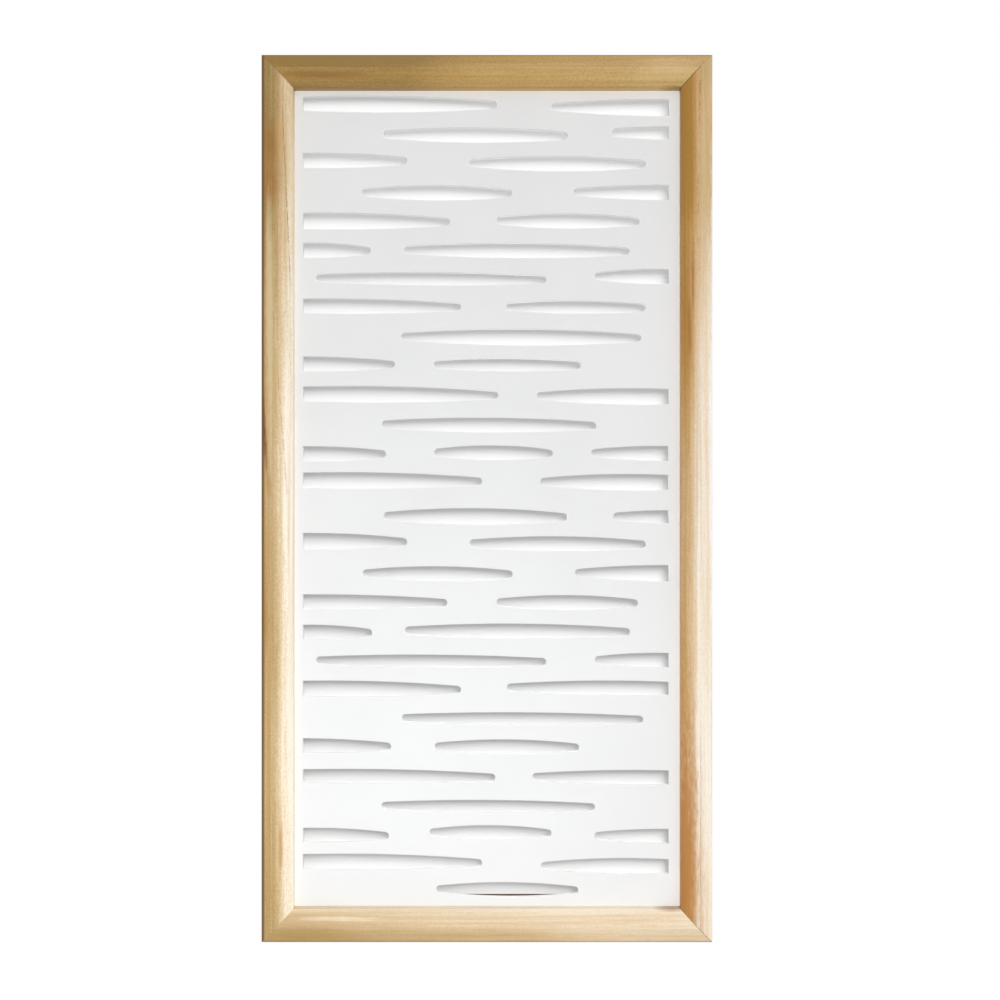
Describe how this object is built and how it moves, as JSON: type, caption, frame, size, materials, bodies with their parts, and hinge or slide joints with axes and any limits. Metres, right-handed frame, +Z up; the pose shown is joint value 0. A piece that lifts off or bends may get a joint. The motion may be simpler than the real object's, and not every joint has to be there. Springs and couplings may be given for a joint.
{
  "type": "decorative divider panel",
  "caption": "Tall rectangular divider panel: a mitred wood moulding frame round a recessed white sheet with staggered lens-shaped slots cut through it.",
  "frame": {"origin": "under the middle of the foot, half way through the depth", "axes": "+X to the right seen from the front, +Y from the front to the back, +Z up"},
  "size_m": [0.61, 0.038, 1.2],
  "materials": {
    "frame_wood": "pale golden softwood moulding, satin clear coat",
    "stop_wood": "dark brown stained softwood strip",
    "white_sheet": "satin white",
    "biscuit_wood": "pressed beech, glued",
    "steel": "bright drawn steel"
  },
  "bodies": {
    "root": {"left_stile": "frame_wood", "right_stile": "frame_wood", "top_rail": "frame_wood", "bottom_rail": "frame_wood", "slotted_panel": "white_sheet", "left_stop": "stop_wood", "right_stop": "stop_wood", "top_stop": "stop_wood", "bottom_stop": "stop_wood", "left_stop_brads": "steel", "right_stop_brads": "steel", "top_stop_brads": "steel", "bottom_stop_brads": "steel", "top_left_biscuit": "biscuit_wood", "top_right_biscuit": "biscuit_wood", "bottom_left_biscuit": "biscuit_wood", "bottom_right_biscuit": "biscuit_wood", "top_left_v_nails": "steel", "top_right_v_nails": "steel", "bottom_left_v_nails": "steel", "bottom_right_v_nails": "steel"}
  },
  "joints": []
}
